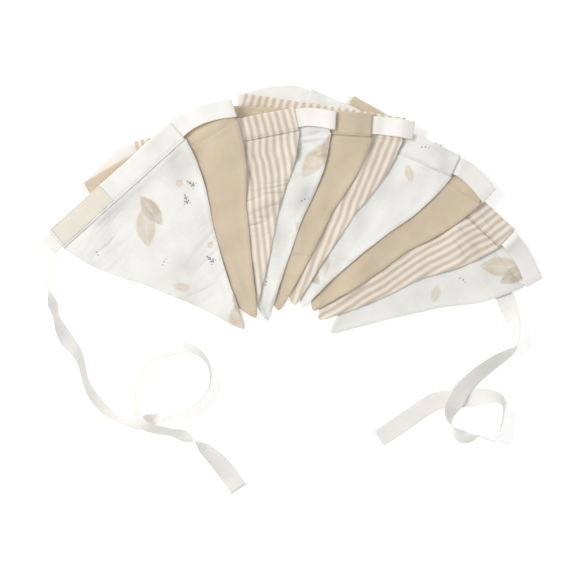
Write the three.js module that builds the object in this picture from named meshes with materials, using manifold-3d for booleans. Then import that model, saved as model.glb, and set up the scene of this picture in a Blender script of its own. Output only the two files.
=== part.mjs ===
// A fabric bunting: ten triangular cotton flags threaded on one cotton tape, folded back
// and forth into a fan and laid flat, with a free tie at each end.
// Millimetres, +Z up. The surface that it lies on is z = 0.

import * as THREE from 'three';
import Module from 'manifold-3d';
import { mergeVertices } from 'three/addons/utils/BufferGeometryUtils.js';

const wasm = await Module();
wasm.setup();

// Driving dimensions of a flag
const FLAG_WIDTH = 163;
const FLAG_DROP = 180;          // from the stitch line to the tip
const CASING_DEPTH = 23;        // from the top edge to the stitch line
const TIP_WIDTH = 4.5;
const SHOULDER = 4.5;           // how far the side edges stand out below the casing
const SHOULDER_DROP = 78;       // where the shoulder ends and the waist begins
const PANEL_THICKNESS = 1.2;
const CASING_THICKNESS = 2.6;

// Driving dimensions of the tape and of the tab on the top flag's casing
const TAPE_WIDTH = 18;
const TAPE_THICKNESS = 1;
const TUNNEL_WIDTH = 19.2;
const TUNNEL_HEIGHT = 1.6;
const TUNNEL_CENTRE = -11.7;    // measured down from the stitch line
const TUNNEL_OVERRUN = 2;
const TAB = { start: -79, end: -13, top: -21, foot: -2.5, thickness: 1 };

// How the cloth lies
const GAP = 0.3;                // between one piece and the next
const CASING_SLOPE = 0.3;
const PANEL_SLOPE = 0.32;
const STRAP_SLOPE = 0.4;
const PUCKER = 1.2;             // height of the soft waves below a casing
const PUCKER_PITCH = 43;
const PUCKER_DROP = 75;          // where the waves end
const SLUMP_DROP = 60;          // where cloth that is pushed together lies smooth again
const TIE_DESCENT = 48;         // length in which a tie comes down to the surface
const DESCENT_SECTIONS = 16;
const STRAP_STEP = 9;
const STRAP_CLEAR = 5;          // how far past a casing a strap is free to rest on what lies below
const HIDDEN_REACH = 4.5;
const HIDDEN_STEPS = 8;

// Grid of a flag: places across, and rows down from the stitch line
const COLUMNS = 10;
const CASING_ROWS = [-CASING_DEPTH, 2.5 - CASING_DEPTH, -2.5];
const PANEL_ROWS = [0, 12, 26, 42, 60, 80, 101, 122, 143, 160, 173, FLAG_DROP];

// The flags, top one first: where the tip lies, how far the centre line leans to the right,
// how far the lower edges draw in, and how far the cloth is pushed together below the casing.
const FLAGS = [
  { name: 'flag_1', cloth: 'print', x: -45.8, y: -38.6, lean: -41.6, waist: 2.3, slump: 0 },
  { name: 'flag_2', cloth: 'sand', x: -34.2, y: -27.6, lean: -29.9, waist: 0, slump: 0 },
  { name: 'flag_3', cloth: 'stripe', x: -37.0, y: -25.2, lean: -11.5, waist: -1.5, slump: 8.5 },
  { name: 'flag_4', cloth: 'print', x: -23.0, y: -30.9, lean: -5.7, waist: 1.5, slump: 0 },
  { name: 'flag_5', cloth: 'sand', x: -11.7, y: -20.5, lean: 3.6, waist: -2.0, slump: 1.5 },
  { name: 'flag_6', cloth: 'stripe', x: 3.4, y: -15.6, lean: 8.9, waist: 0.7, slump: 1 },
  { name: 'flag_7', cloth: 'print', x: 11.8, y: -17.1, lean: 24.4, waist: 2.5, slump: 0 },
  { name: 'flag_8', cloth: 'sand', x: 22.5, y: -20.5, lean: 32.9, waist: -2.5, slump: 0 },
  { name: 'flag_9', cloth: 'stripe', x: 28.5, y: -29.5, lean: 43.2, waist: -3.0, slump: 3.5 },
  { name: 'flag_10', cloth: 'print', x: 40.2, y: -42.8, lean: 52.2, waist: 1.0, slump: 0 },
];

// The straps of tape between two casings. Each leaves the end of an odd flag and folds over
// at the same end of an even one: side 1 is the right end, side -1 the left. Reach is how
// far the fold stands out past the even flag's casing, and bow how far along its length the strap
// keeps to the odd casing's direction.
const STRAPS = [
  { odd: 1, even: 2, side: 1, reach: 2.5, bow: 0.4 },
  { odd: 3, even: 2, side: -1, reach: 4, bow: 0.22 },
  { odd: 3, even: 4, side: 1, reach: 4.5, bow: 0.3 },
  { odd: 5, even: 4, side: -1, reach: 5, bow: 0.25 },
  { odd: 5, even: 6, side: 1, reach: 8, bow: 0.3 },
  { odd: 7, even: 6, side: -1, reach: 4, bow: 0.3 },
  { odd: 7, even: 8, side: 1, reach: 3, bow: 0.3 },
  { odd: 9, even: 8, side: -1, reach: 2.5, bow: 0.25 },
  { odd: 9, even: 10, side: 1, reach: 2.5, bow: 0.4 },
];

// The free ties. Roll is 0 where the tape lies flat, 90 on edge and 180 turned over.
// Lift raises a stretch that passes over another one.
const LEFT_TIE = [
  { x: -240.5, y: 43.5, roll: 4, lift: 0 },
  { x: -244, y: 35, roll: 34, lift: 0 },
  { x: -246.5, y: 26.5, roll: 60, lift: 0 },
  { x: -246.5, y: 17, roll: 75, lift: 0 },
  { x: -244, y: 6, roll: 78, lift: 0 },
  { x: -239.5, y: -4, roll: 95, lift: 0 },
  { x: -237, y: -14, roll: 118, lift: 0 },
  { x: -233.5, y: -26, roll: 105, lift: 0 },
  { x: -229, y: -38, roll: 125, lift: 0 },
  { x: -222, y: -51, roll: 140, lift: 0 },
  { x: -214, y: -61, roll: 126, lift: 0 },
  { x: -208.5, y: -72, roll: 112, lift: 0 },
  { x: -206, y: -83, roll: 106, lift: 0 },
  { x: -202, y: -96, roll: 108, lift: 0 },
  { x: -194, y: -109, roll: 120, lift: 0 },
  { x: -183, y: -121, roll: 118, lift: 0 },
  { x: -171, y: -129, roll: 106, lift: 0 },
  { x: -161, y: -132.5, roll: 108, lift: 0 },
  { x: -151, y: -133.3, roll: 132, lift: 0 },
  { x: -142, y: -131.5, roll: 140, lift: 0 },
  { x: -131, y: -127.5, roll: 114, lift: 0 },
  { x: -118, y: -123.5, roll: 106, lift: 0 },
  { x: -104, y: -119, roll: 97, lift: 0 },
  { x: -92, y: -111.5, roll: 93, lift: 0 },
  { x: -83.5, y: -102, roll: 90, lift: 0 },
  { x: -79.5, y: -91, roll: 87, lift: 0 },
  { x: -80, y: -79, roll: 84, lift: 0 },
  { x: -85, y: -68, roll: 78, lift: 0 },
  { x: -95, y: -60, roll: 66, lift: 0 },
  { x: -107.5, y: -56.5, roll: 52, lift: 0 },
  { x: -121, y: -60.5, roll: 55, lift: 0 },
  { x: -133, y: -64, roll: 62, lift: 0 },
  { x: -143, y: -70.5, roll: 68, lift: 0 },
  { x: -151, y: -81, roll: 70, lift: 0 },
  { x: -156, y: -93, roll: 72, lift: 0.5 },
  { x: -156.5, y: -105, roll: 72, lift: 4 },
  { x: -154, y: -116, roll: 66, lift: 11 },
  { x: -150.5, y: -126, roll: 62, lift: 14 },
  { x: -146, y: -133.5, roll: 56, lift: 14 },
  { x: -137.5, y: -137.5, roll: 60, lift: 12 },
  { x: -127, y: -140, roll: 62, lift: 6 },
  { x: -116, y: -142.5, roll: 62, lift: 1 },
  { x: -106, y: -145.5, roll: 46, lift: 0 },
  { x: -99.5, y: -148.5, roll: 64, lift: 0 },
  { x: -94, y: -151.5, roll: 92, lift: 0 },
  { x: -87, y: -157, roll: 124, lift: 0 },
  { x: -78, y: -165, roll: 146, lift: 0 },
  { x: -68, y: -176, roll: 165, lift: 0 },
  { x: -59, y: -188, roll: 180, lift: 0 },
  { x: -51.5, y: -199, roll: 180, lift: 0 },
];
const RIGHT_TIE = [
  { x: 213, y: -4, roll: 0, lift: 0 },
  { x: 217.5, y: -16, roll: 15, lift: 0 },
  { x: 222, y: -29, roll: 38, lift: 0 },
  { x: 225, y: -41, roll: 65, lift: 0 },
  { x: 226.5, y: -50, roll: 85, lift: 0 },
  { x: 224.5, y: -58, roll: 105, lift: 0 },
  { x: 216.5, y: -64, roll: 122, lift: 0 },
  { x: 206.5, y: -70, roll: 135, lift: 0 },
  { x: 196, y: -77.5, roll: 142, lift: 0 },
  { x: 186, y: -85.5, roll: 148, lift: 0 },
  { x: 177.5, y: -93.5, roll: 156, lift: 0.5 },
  { x: 171, y: -101, roll: 162, lift: 2 },
  { x: 166.5, y: -109.5, roll: 163, lift: 2 },
  { x: 161.5, y: -117.5, roll: 150, lift: 2 },
  { x: 159.5, y: -125.5, roll: 125, lift: 0.5 },
  { x: 160.5, y: -134, roll: 95, lift: 0 },
  { x: 165, y: -141.5, roll: 62, lift: 0 },
  { x: 172.5, y: -146.5, roll: 44, lift: 0 },
  { x: 180.5, y: -147.5, roll: 60, lift: 0 },
  { x: 188, y: -145.5, roll: 84, lift: 0 },
  { x: 196, y: -148, roll: 92, lift: 0 },
  { x: 203, y: -149.5, roll: 89, lift: 0 },
  { x: 208.5, y: -144, roll: 86, lift: 0 },
  { x: 211, y: -134, roll: 82, lift: 0 },
  { x: 213, y: -123, roll: 82, lift: 0 },
  { x: 213, y: -113.5, roll: 72, lift: 0 },
  { x: 208, y: -107.5, roll: 56, lift: 0 },
  { x: 199.5, y: -105.8, roll: 44, lift: 0 },
  { x: 189, y: -106.3, roll: 24, lift: 0 },
  { x: 178.5, y: -107.7, roll: 0, lift: 0 },
  { x: 167, y: -109, roll: 0, lift: 0 },
  { x: 155, y: -109.3, roll: 0, lift: 0 },
  { x: 146, y: -111, roll: 0, lift: 0 },
  { x: 136.5, y: -116, roll: 0, lift: 0 },
  { x: 121, y: -126.5, roll: 0, lift: 0 },
  { x: 105, y: -137.5, roll: 0, lift: 0 },
  { x: 89, y: -148.5, roll: 0, lift: 0 },
];

const FINISHES = {
  print: { color: 0xf0f0ee, roughness: 0.92, metalness: 0 },
  sand: { color: 0xd9c7a9, roughness: 0.92, metalness: 0 },
  stripe: { color: 0xd8c8b2, roughness: 0.92, metalness: 0 },
  tape: { color: 0xf3f2ef, roughness: 0.85, metalness: 0 },
  tab: { color: 0xefe9dc, roughness: 0.8, metalness: 0 },
};

// The heap keeps the height of the highest cloth laid so far, in square cells.
const CELL = 2;
const heap = new Map();

function cellKey(column, row) {
  return column * 4096 + row;
}

function markHeap(x, y, height) {
  const key = cellKey(Math.round(x / CELL), Math.round(y / CELL));
  heap.set(key, Math.max(heap.get(key) ?? 0, height));
}

function seatHeight(x, y) {
  const column = Math.round(x / CELL);
  const row = Math.round(y / CELL);
  let highest = 0;
  for (let i = -1; i <= 1; i += 1) {
    for (let j = -1; j <= 1; j += 1) {
      highest = Math.max(highest, heap.get(cellKey(column + i, row + j)) ?? 0);
    }
  }
  return highest > 0 ? highest + GAP : 0;
}

// A grid is a list of rows of points, and its triangles are pairs in each of its squares.
function gridTriangles(grid) {
  const triangles = [];
  for (let r = 0; r < grid.length - 1; r += 1) {
    for (let c = 0; c < grid[r].length - 1; c += 1) {
      triangles.push([grid[r][c], grid[r + 1][c], grid[r + 1][c + 1]]);
      triangles.push([grid[r][c], grid[r + 1][c + 1], grid[r][c + 1]]);
    }
  }
  return triangles;
}

function eachSample([a, b, c], step, visit) {
  const reach = Math.max(a.distanceTo(b), b.distanceTo(c), c.distanceTo(a));
  const count = Math.ceil(reach / step);
  for (let i = 0; i <= count; i += 1) {
    for (let j = 0; j <= count - i; j += 1) {
      const p = i / count;
      const q = j / count;
      visit(p, q, 1 - p - q);
    }
  }
}

// Cloth hangs no steeper than the slope from one point of the grid to the next.
function easeSlopes(grid, slope) {
  for (let pass = 0; pass < 12; pass += 1) {
    for (const triangle of gridTriangles(grid)) {
      for (let i = 0; i < 3; i += 1) {
        const a = triangle[i];
        const b = triangle[(i + 1) % 3];
        const fall = slope * Math.hypot(a.x - b.x, a.y - b.y);
        a.z = Math.max(a.z, b.z - fall);
        b.z = Math.max(b.z, a.z - fall);
      }
    }
  }
}

// Raises the grid's points until no triangle cuts into the heap.
function liftClear(grid) {
  for (const [a, b, c] of gridTriangles(grid)) {
    eachSample([a, b, c], 1.8, (p, q, s) => {
      const seat = seatHeight(p * a.x + q * b.x + s * c.x, p * a.y + q * b.y + s * c.y);
      const lack = seat - (p * a.z + q * b.z + s * c.z);
      if (lack > 0) {
        const share = lack / (p * p + q * q + s * s);
        a.z += share * p;
        b.z += share * q;
        c.z += share * s;
      }
    });
  }
}

function drape(grid, slope) {
  for (const point of grid.flat()) {
    point.z = Math.max(point.z, seatHeight(point.x, point.y));
  }
  easeSlopes(grid, slope);
  liftClear(grid);
  easeSlopes(grid, slope);
}

function markTop(grid) {
  for (const [a, b, c] of gridTriangles(grid)) {
    eachSample([a, b, c], 1.2, (p, q, s) => {
      markHeap(p * a.x + q * b.x + s * c.x, p * a.y + q * b.y + s * c.y, p * a.z + q * b.z + s * c.z);
    });
  }
}

// A closed solid between a lower and an upper grid of the same size.
function slab(lower, upper) {
  const rows = lower.length;
  const columns = lower[0].length;
  const layer = rows * columns;
  const vertices = [...lower.flat(), ...upper.flat()];
  const faces = [];
  const quad = (a, b, c, d) => {
    faces.push([a, b, c], [a, c, d]);
  };
  for (let r = 0; r < rows - 1; r += 1) {
    for (let c = 0; c < columns - 1; c += 1) {
      const at = r * columns + c;
      quad(layer + at, layer + at + columns, layer + at + columns + 1, layer + at + 1);
      faces.push([at, at + columns + 1, at + columns], [at, at + 1, at + columns + 1]);
    }
  }
  for (let r = 0; r < rows - 1; r += 1) {
    const left = r * columns;
    const right = left + columns - 1;
    quad(left, left + columns, layer + left + columns, layer + left);
    quad(right + columns, right, layer + right, layer + right + columns);
  }
  for (let c = 0; c < columns - 1; c += 1) {
    const first = c;
    const last = (rows - 1) * columns + c;
    quad(first + 1, first, layer + first, layer + first + 1);
    quad(last, last + 1, layer + last + 1, layer + last);
  }
  return outward(vertices, faces);
}

function outward(vertices, faces) {
  const cross = new THREE.Vector3();
  let volume = 0;
  for (const [a, b, c] of faces) {
    cross.crossVectors(vertices[b], vertices[c]);
    volume += vertices[a].dot(cross);
  }
  const order = volume > 0 ? faces : faces.map(([a, b, c]) => [a, c, b]);
  const geometry = new THREE.BufferGeometry();
  const positions = vertices.flatMap((point) => [point.x, point.y, point.z]);
  geometry.setAttribute('position', new THREE.Float32BufferAttribute(positions, 3));
  geometry.setIndex(order.flat());
  return geometry;
}

function manifoldOf(geometry) {
  const merged = mergeVertices(geometry, 1e-4);
  return new wasm.Manifold(new wasm.Mesh({
    numProp: 3,
    vertProperties: new Float32Array(merged.attributes.position.array),
    triVerts: new Uint32Array(merged.index.array),
  }));
}

function geometryOf(manifold) {
  const mesh = manifold.getMesh();
  const geometry = new THREE.BufferGeometry();
  geometry.setAttribute('position', new THREE.Float32BufferAttribute(mesh.vertProperties, 3));
  geometry.setIndex(Array.from(mesh.triVerts));
  return geometry;
}

// Places on a flag: across is measured along the casing from its middle to the right,
// down from the stitch line towards the tip.
function flagPoint(flag, across, down, height = 0) {
  const lean = THREE.MathUtils.degToRad(flag.lean);
  const pushed = flag.slump * THREE.MathUtils.clamp(1 - down / SLUMP_DROP, 0, 1);
  const rise = FLAG_DROP - down - pushed;
  return new THREE.Vector3(
    flag.x + rise * Math.sin(lean) + across * Math.cos(lean),
    flag.y + rise * Math.cos(lean) - across * Math.sin(lean),
    height,
  );
}

function flagAcross(flag) {
  const lean = THREE.MathUtils.degToRad(flag.lean);
  return new THREE.Vector3(Math.cos(lean), -Math.sin(lean), 0);
}

function halfWidth(flag, down) {
  if (down <= 0) {
    return FLAG_WIDTH / 2;
  }
  const straight = TIP_WIDTH / 2 + (FLAG_WIDTH - TIP_WIDTH) / 2 * (1 - down / FLAG_DROP);
  if (down < SHOULDER_DROP) {
    return straight + SHOULDER * Math.sin(Math.PI * down / SHOULDER_DROP);
  }
  const share = (down - SHOULDER_DROP) / (FLAG_DROP - SHOULDER_DROP);
  return straight - flag.waist * Math.sin(Math.PI * share);
}

function columnShare(column) {
  return 2 * column / COLUMNS - 1;
}

function flagRow(flag, down, height) {
  return Array.from({ length: COLUMNS + 1 }, (_, column) => (
    flagPoint(flag, columnShare(column) * halfWidth(flag, down), down, height(column))
  ));
}

function pucker(flag, column, down) {
  const across = columnShare(column) * halfWidth(flag, down);
  const wave = Math.max(0, Math.sin(2 * Math.PI * across / PUCKER_PITCH + flag.lean));
  const fade = Math.min(down / PANEL_ROWS[1], 1) * Math.max(0, 1 - down / PUCKER_DROP);
  return PUCKER * wave * fade;
}

// The casing lies level across its depth; seats keeps its underside at each column.
function layCasing(flag) {
  const strip = [-CASING_DEPTH, 0].map((down) => flagRow(flag, down, () => 0));
  drape(strip, CASING_SLOPE);
  flag.seats = strip[0].map((point, column) => Math.max(point.z, strip[1][column].z));
}

function casingSeat(flag, across) {
  const place = THREE.MathUtils.clamp((across / FLAG_WIDTH + 0.5) * COLUMNS, 0, COLUMNS);
  const column = Math.min(Math.floor(place), COLUMNS - 1);
  return THREE.MathUtils.lerp(flag.seats[column], flag.seats[column + 1], place - column);
}

function layFlag(flag) {
  layCasing(flag);
  const seam = (CASING_THICKNESS - PANEL_THICKNESS) / 2;
  const panel = PANEL_ROWS.map((down) => flagRow(flag, down, (column) => (
    down === 0 ? flag.seats[column] + seam : 0
  )));
  drape(panel, PANEL_SLOPE);
  panel.forEach((row, index) => row.forEach((point, column) => {
    point.z += pucker(flag, column, PANEL_ROWS[index]);
  }));
  const rounding = [0.6, 0, 0];
  const lower = CASING_ROWS.map((down, index) => (
    flagRow(flag, down, (column) => flag.seats[column] + rounding[index])
  ));
  const upper = CASING_ROWS.map((down, index) => (
    flagRow(flag, down, (column) => flag.seats[column] + CASING_THICKNESS - rounding[index])
  ));
  lower.push(...panel);
  upper.push(...panel.map((row) => row.map((point) => (
    new THREE.Vector3(point.x, point.y, point.z + PANEL_THICKNESS)
  ))));
  markTop(upper);
  flag.geometry = geometryOf(manifoldOf(slab(lower, upper)).subtract(tunnel(flag)));
}

// The tunnel that the tape runs through, a little longer than the casing at both ends.
function tunnel(flag) {
  const sides = [TUNNEL_CENTRE - TUNNEL_WIDTH / 2, TUNNEL_CENTRE + TUNNEL_WIDTH / 2];
  const grid = (offset) => sides.map((down) => {
    const places = flag.seats.map((seat, column) => (
      flagPoint(flag, columnShare(column) * FLAG_WIDTH / 2, down, seat + CASING_THICKNESS / 2 + offset)
    ));
    const overrun = flagAcross(flag).multiplyScalar(TUNNEL_OVERRUN);
    return [places[0].clone().sub(overrun), ...places, places.at(-1).clone().add(overrun)];
  });
  return manifoldOf(slab(grid(-TUNNEL_HEIGHT / 2), grid(TUNNEL_HEIGHT / 2)));
}

// A section of the tape: its centre, half its width as a vector, and its unit normal. The
// half width always points to the same edge of the tape; the normal turns over at folds.
function section(centre, half, normal) {
  return { centre, half, normal };
}

const UP = new THREE.Vector3(0, 0, 1);
const DOWN = new THREE.Vector3(0, 0, -1);

function flatHalf(direction) {
  return new THREE.Vector3().crossVectors(UP, direction).normalize().multiplyScalar(TAPE_WIDTH / 2);
}

function flatTop(sections) {
  return sections.map(({ centre, half }) => [
    centre.clone().sub(half).setZ(centre.z + TAPE_THICKNESS / 2),
    centre.clone().add(half).setZ(centre.z + TAPE_THICKNESS / 2),
  ]);
}

// The tape inside a casing, from its left end to its right end.
function casingSections(flag, normal) {
  const half = flatHalf(flagAcross(flag));
  return flag.seats.map((seat, column) => section(
    flagPoint(flag, columnShare(column) * FLAG_WIDTH / 2, TUNNEL_CENTRE, seat + CASING_THICKNESS / 2),
    half,
    normal,
  ));
}

function casingEnd(flag, side, normal) {
  return casingSections(flag, normal).at(side > 0 ? -1 : 0);
}

// Lays a flat strap on the heap: a soft curve that leaves the odd flag in line with its
// casing and ends on the crease at the even flag.
function layStrap(strap) {
  const odd = FLAGS[strap.odd - 1];
  const even = FLAGS[strap.even - 1];
  const leave = flagAcross(odd).multiplyScalar(strap.side);
  const end = casingEnd(odd, strap.side, UP).centre;
  const start = end.clone().addScaledVector(leave, STRAP_CLEAR).setZ(0);
  const goal = flagPoint(even, strap.side * (FLAG_WIDTH / 2 + strap.reach), TUNNEL_CENTRE);
  const span = start.distanceTo(goal);
  const bend = start.clone().addScaledVector(leave, strap.bow * span);
  const curve = new THREE.QuadraticBezierCurve3(start, bend, goal);
  const arrive = curve.getTangent(1);
  strap.out = arrive.clone().addScaledVector(flagAcross(even), strap.side).normalize();
  strap.crease = flatHalf(strap.out).multiplyScalar(strap.side / strap.out.dot(arrive));
  const steps = Math.max(3, Math.round(span / STRAP_STEP));
  const stations = Array.from({ length: steps + 1 }, (_, step) => {
    const share = step / steps;
    const half = flatHalf(curve.getTangent(share)).multiplyScalar(strap.side);
    return section(curve.getPoint(share), step === steps ? strap.crease : half, UP);
  });
  const grid = stations.map(({ centre, half }) => [centre.clone().sub(half), centre.clone().add(half)]);
  grid[0][0].z = end.z - TAPE_THICKNESS / 2;
  if (strap.side > 0) {
    grid.at(-1)[0].z = even.seats.at(-1) + CASING_THICKNESS + GAP;
  }
  drape(grid, STRAP_SLOPE);
  strap.sections = stations.map(({ centre, half, normal }, index) => {
    const seat = Math.max(grid[index][0].z, grid[index][1].z);
    return section(centre.clone().setZ(seat + TAPE_THICKNESS / 2), half, normal);
  });
  markTop(flatTop(strap.sections));
}

// The round of a fold about a crease, listed from one height to the other, and the flat
// section that follows it at the second height. Turn is 1 where the normal faces outwards.
function foldSections(centre, out, crease, fromHeight, toHeight, turn) {
  const rise = Math.sign(toHeight - fromHeight);
  const radius = Math.abs(toHeight - fromHeight) / 2;
  const middle = centre.clone().setZ((fromHeight + toHeight) / 2);
  const round = [-45, 0, 45].map((degrees) => {
    const angle = THREE.MathUtils.degToRad(degrees * rise);
    const normal = out.clone().multiplyScalar(Math.cos(angle)).setZ(Math.sin(angle));
    return section(middle.clone().addScaledVector(normal, radius), crease, normal.multiplyScalar(turn));
  });
  return [...round, section(centre.clone().setZ(toHeight), crease, UP.clone().multiplyScalar(turn * rise))];
}

// A strap in the order of the tape, from the one flag's casing to the next one's.
function strapSections(strap) {
  const last = strap.sections.at(-1).centre;
  const inside = casingEnd(FLAGS[strap.even - 1], strap.side, DOWN).centre;
  const fold = foldSections(last, strap.out, strap.crease, last.z, inside.z, strap.side);
  const run = [...strap.sections, ...fold];
  return strap.side > 0 ? run : run.reverse();
}

// A tie: smooth through its table, with one more section between two rows, and coming down
// from the height of the section that it starts at.
function tieSections(table, start) {
  const rows = [{ x: start.centre.x, y: start.centre.y, roll: 0, lift: 0 }, ...table];
  const places = rows.map((row) => new THREE.Vector3(row.x, row.y, 0));
  const manners = rows.map((row) => new THREE.Vector3(row.roll, row.lift, 0));
  const route = new THREE.CatmullRomCurve3(places, false, 'catmullrom', 0.5);
  const manner = new THREE.CatmullRomCurve3(manners, false, 'catmullrom', 0.5);
  const count = 2 * table.length;
  const fall = start.centre.z - TAPE_THICKNESS / 2;
  return Array.from({ length: count }, (_, index) => {
    const share = (index + 1) / count;
    const centre = route.getPoint(share);
    const roll = THREE.MathUtils.degToRad(manner.getPoint(share).x);
    const half = flatHalf(route.getTangent(share));
    const normal = half.clone().normalize().multiplyScalar(-Math.sin(roll)).setZ(Math.cos(roll));
    half.multiplyScalar(Math.cos(roll)).setZ(TAPE_WIDTH / 2 * Math.sin(roll));
    const reach = Math.abs(half.z) + TAPE_THICKNESS / 2 * Math.abs(Math.cos(roll));
    const gone = centre.distanceTo(places[0]);
    const descent = fall * Math.max(0, 1 - gone / TIE_DESCENT) * (index < DESCENT_SECTIONS ? 1 : 0);
    centre.z = reach + Math.max(0, manner.getPoint(share).y) + descent;
    return section(centre, half, normal);
  });
}

// The right tie starts at a fold at the left end of the lowest flag, and runs hidden
// beneath that flag, flat on the surface.
function hiddenRun(flag, table) {
  const start = flagPoint(flag, -FLAG_WIDTH / 2 - HIDDEN_REACH, TUNNEL_CENTRE, TAPE_THICKNESS / 2);
  const goal = new THREE.Vector3(table[0].x, table[0].y, TAPE_THICKNESS / 2);
  const way = goal.clone().sub(start).normalize();
  const out = flagAcross(flag).negate().sub(way).normalize();
  const crease = flatHalf(out).divideScalar(out.dot(way));
  const sections = Array.from({ length: HIDDEN_STEPS }, (_, step) => section(
    start.clone().lerp(goal, step / HIDDEN_STEPS),
    step === 0 ? crease : flatHalf(way),
    UP,
  ));
  return { start, out, crease, sections };
}

const hidden = hiddenRun(FLAGS.at(-1), RIGHT_TIE);
const rightTie = tieSections(RIGHT_TIE, hidden.sections.at(-1));
markTop(flatTop([...hidden.sections, ...rightTie.slice(0, 4)]));

// Lays the flags from the lowest to the highest, each strap when what it lies on is down.
for (let number = FLAGS.length; number >= 1; number -= 1) {
  layFlag(FLAGS[number - 1]);
  STRAPS.filter(({ odd }) => odd === number).forEach(layStrap);
}

// The whole tape, from the end of the left tie to the end of the right one.
function tapeSections() {
  const leftTie = tieSections(LEFT_TIE, casingEnd(FLAGS[0], -1, UP));
  const sections = leftTie.reverse().map(({ centre, half, normal }) => (
    section(centre, half.negate(), normal)
  ));
  FLAGS.forEach((flag, index) => {
    const faceUp = index % 2 === 0;
    const inside = casingSections(flag, faceUp ? UP : DOWN);
    sections.push(...(faceUp ? inside : inside.reverse()));
    if (index < STRAPS.length) {
      sections.push(...strapSections(STRAPS[index]));
    }
  });
  const { start, out, crease } = hidden;
  const inside = casingEnd(FLAGS.at(-1), -1, DOWN).centre;
  const fold = foldSections(start, out, crease, start.z, inside.z, -1);
  return [...sections, ...fold.reverse(), ...hidden.sections, ...rightTie];
}

function tapeGeometry() {
  const face = (turn) => tapeSections().map(({ centre, half, normal }) => {
    const middle = centre.clone().addScaledVector(normal, turn * TAPE_THICKNESS / 2);
    return [middle.clone().sub(half), middle.clone().add(half)];
  });
  return slab(face(-1), face(1));
}

// The tab lies on the top flag's casing, along the left part of it.
function tabGeometry() {
  const flag = FLAGS[0];
  const columns = Array.from({ length: COLUMNS + 1 }, (_, column) => columnShare(column) * FLAG_WIDTH / 2);
  const places = [TAB.start, ...columns.filter((across) => across > TAB.start && across < TAB.end), TAB.end];
  const face = (offset) => places.map((across) => [TAB.top, TAB.foot].map((down) => (
    flagPoint(flag, across, down, casingSeat(flag, across) + CASING_THICKNESS + offset)
  )));
  return slab(face(GAP), face(GAP + TAB.thickness));
}

const bunting = new THREE.Group();

function addPiece(name, geometry, finish) {
  geometry.computeVertexNormals();
  const mesh = new THREE.Mesh(geometry, new THREE.MeshStandardMaterial(FINISHES[finish]));
  mesh.name = name;
  bunting.add(mesh);
}

for (const flag of FLAGS) {
  addPiece(flag.name, flag.geometry, flag.cloth);
}
addPiece('tape', tapeGeometry(), 'tape');
addPiece('tab', tabGeometry(), 'tab');

// The origin is the middle of the whole outline, on the surface.
const outline = new THREE.Box3().setFromObject(bunting);
const middle = outline.getCenter(new THREE.Vector3());
bunting.position.set(-middle.x, -middle.y, -outline.min.z);

export default bunting;
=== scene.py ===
"""Dresses the folded bunting: turned cotton flags, their casings and stitching, and the tape.

Every new surface is a grid or a carried profile worked out as whole numpy arrays. The
flags lie on the heights of their own solids, and the tape follows its solid's route.
"""

import itertools
import math

import bpy
import numpy as np
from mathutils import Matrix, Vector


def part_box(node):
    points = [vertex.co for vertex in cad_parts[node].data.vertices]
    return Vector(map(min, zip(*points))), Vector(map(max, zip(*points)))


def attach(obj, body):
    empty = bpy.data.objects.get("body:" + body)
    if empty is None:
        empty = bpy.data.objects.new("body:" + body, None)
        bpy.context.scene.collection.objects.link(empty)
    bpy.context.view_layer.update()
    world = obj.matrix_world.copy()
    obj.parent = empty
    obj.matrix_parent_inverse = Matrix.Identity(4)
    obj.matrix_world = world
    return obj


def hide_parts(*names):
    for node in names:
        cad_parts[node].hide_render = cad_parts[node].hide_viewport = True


bl_info = {
    "name": "Folded Bunting",
    "version": (1, 0, 0),
    "blender": (4, 5, 0),
    "location": "View3D > Sidebar > Bunting",
    "description": "Makes the cloth, tape, tab and stitching of a folded bunting around its solids",
    "category": "Object",
}

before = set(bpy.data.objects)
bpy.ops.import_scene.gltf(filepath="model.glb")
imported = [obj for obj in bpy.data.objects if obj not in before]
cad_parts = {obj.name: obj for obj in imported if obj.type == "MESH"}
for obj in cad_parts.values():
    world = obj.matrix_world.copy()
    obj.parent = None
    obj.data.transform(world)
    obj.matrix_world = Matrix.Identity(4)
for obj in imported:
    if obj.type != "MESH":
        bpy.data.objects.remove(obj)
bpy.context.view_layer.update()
MM = 0.001

# Sizes of the solids, in millimetres
FLAG_WIDTH = 163.0
FLAG_DROP = 180.0
CASING_DEPTH = 23.0
TIP_WIDTH = 4.5
SHOULDER = 4.5
SHOULDER_DROP = 78.0
SLUMP_DROP = 60.0
ROUND_TIP = 6.0
PANEL_THICKNESS = 1.2
CASING_THICKNESS = 2.6
TAPE_WIDTH = 18.0
TAPE_START = (-51.5, -199.0)

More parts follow.
